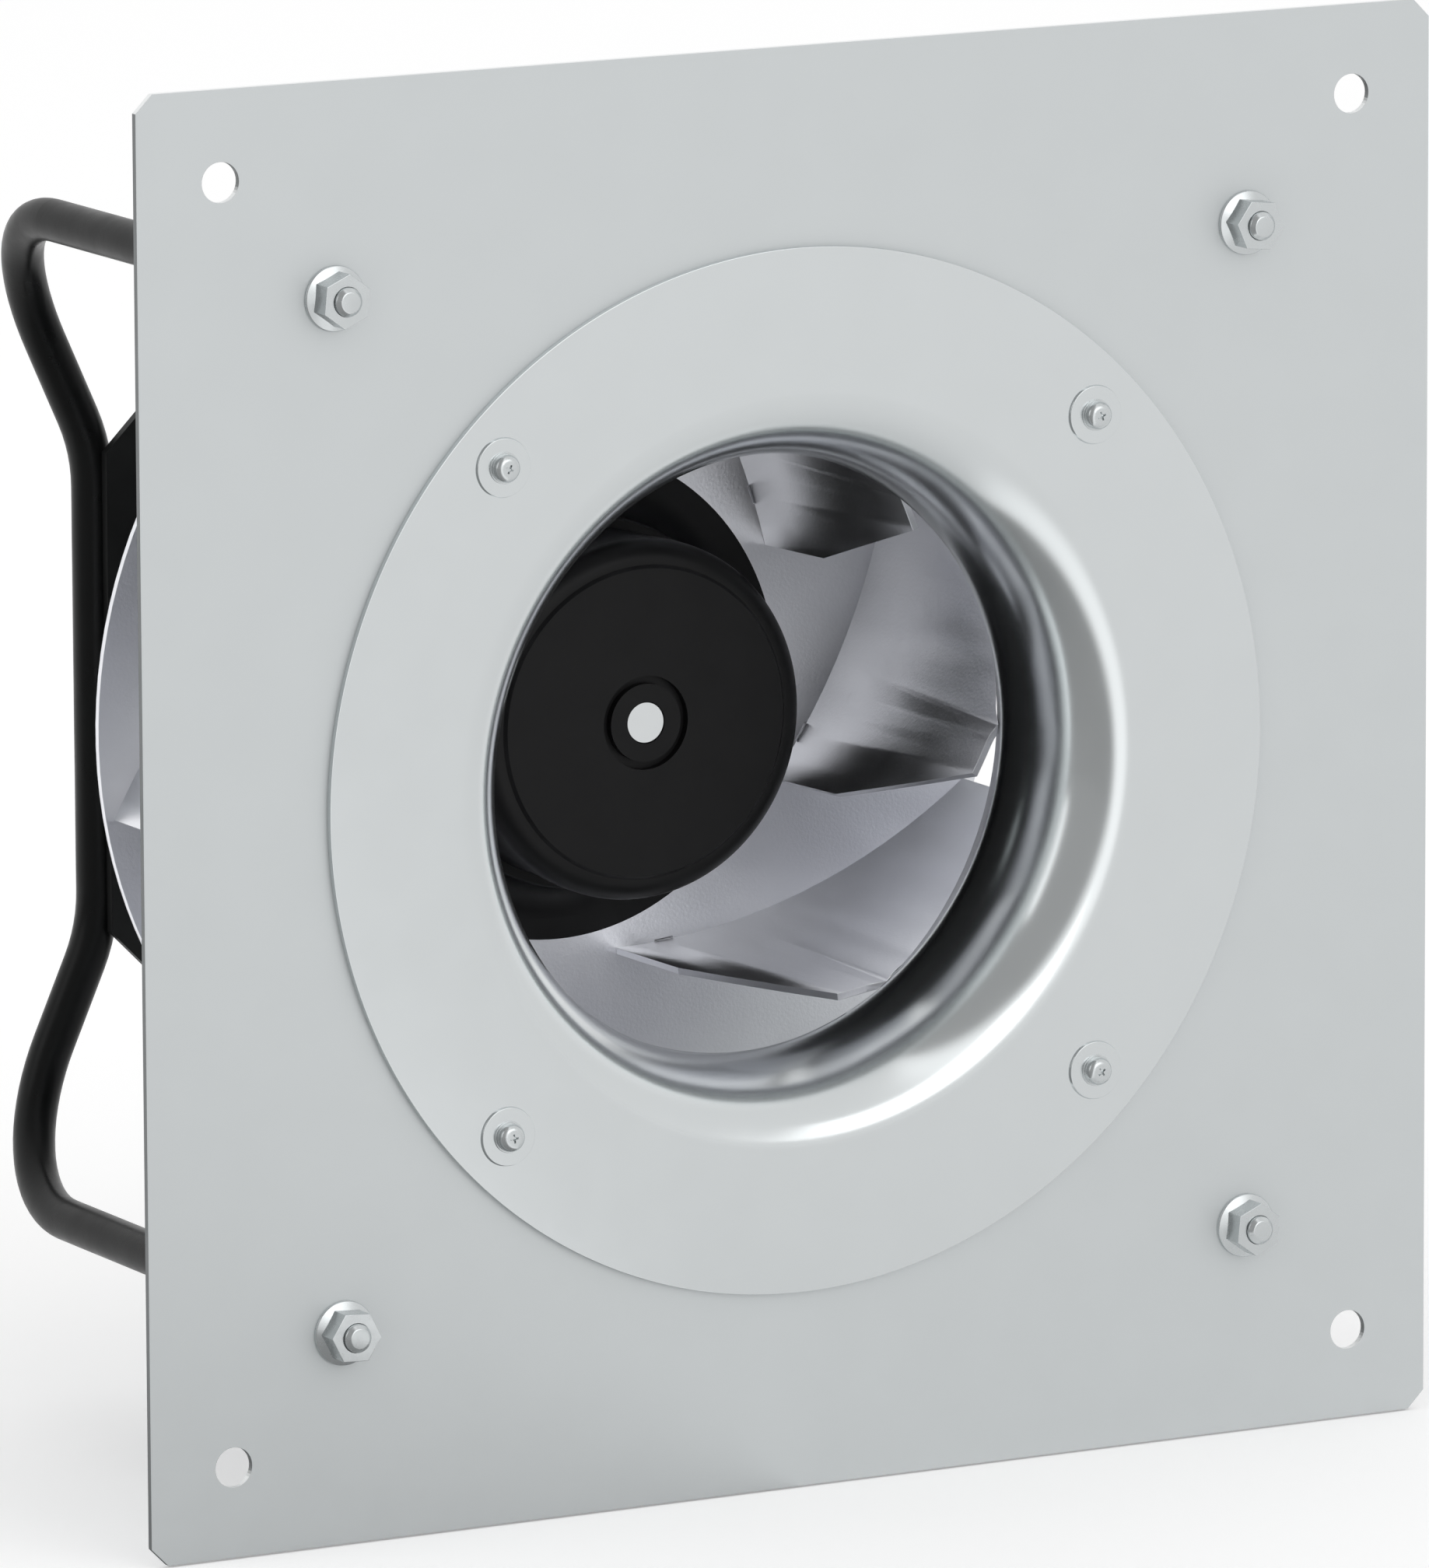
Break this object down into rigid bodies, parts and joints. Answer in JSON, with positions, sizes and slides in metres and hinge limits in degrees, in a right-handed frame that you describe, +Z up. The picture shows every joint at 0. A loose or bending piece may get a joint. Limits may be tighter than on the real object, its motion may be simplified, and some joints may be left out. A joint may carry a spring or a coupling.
{
  "type": "exhaust fan",
  "caption": "Square plate exhaust fan: backward curved wheel on an external rotor motor, drawing through a round inlet nozzle and carried by a bent tube frame behind the plate.",
  "frame": {"origin": "where the fan axis meets the front, inlet side face of the square plate, the centre of its four corner holes", "axes": "+Y backwards along the fan axis, the way the air is drawn in; +X to the right seen from the inlet; +Z up"},
  "size_m": [0.4, 0.2346, 0.4],
  "materials": {
    "galvanised_sheet": "satin",
    "zinc_steel": "satin",
    "black_tube": "satin black",
    "black_plate": "matte black",
    "rotor_black": "matte black",
    "magnet_grey": "matte",
    "ground_steel": "ground",
    "wheel_sheet": "dull, lightly textured",
    "cast_aluminium": "cast",
    "laminations": "matte",
    "copper_wire": "enamelled",
    "board_green": "solder mask",
    "board_black": "matte",
    "gland_plastic": "matte black",
    "gland_rubber": "matte"
  },
  "bodies": {
    "frame": {"mounting_plate": "galvanised_sheet", "inlet_nozzle": "galvanised_sheet", "rivet_nuts": "zinc_steel", "nozzle_flat_washers": "zinc_steel", "nozzle_spring_washers": "zinc_steel", "nozzle_screws": "zinc_steel", "frame_tube_left": "black_tube", "frame_tube_right": "black_tube", "frame_studs": "zinc_steel", "frame_nuts": "zinc_steel", "motor_plate": "black_plate", "frame_welds": "black_tube", "stator_hub": "cast_aluminium", "stator_core": "laminations", "stator_coils": "copper_wire", "bearing_outer_rings": "ground_steel", "electronics_housing": "cast_aluminium", "circuit_board": "board_green", "board_parts": "board_black", "motor_washers": "zinc_steel", "motor_bolts": "zinc_steel", "gland_body": "gland_plastic", "gland_nut": "gland_plastic", "gland_seal": "gland_rubber"},
    "wheel": {"rotor_cup": "rotor_black", "magnets": "magnet_grey", "shaft": "ground_steel", "shaft_ring": "ground_steel", "hub_flange": "rotor_black", "back_disc": "wheel_sheet", "hub_screws": "zinc_steel", "shroud": "wheel_sheet", "blades": "wheel_sheet", "bearing_inner_rings": "ground_steel", "bearing_balls": "ground_steel"}
  },
  "joints": [
    {"name": "wheel_spin", "type": "hinge", "parent": "frame", "child": "wheel", "pos_m": [0, 0.1, 0], "axis": [0, 1, 0], "continuous": true}
  ]
}
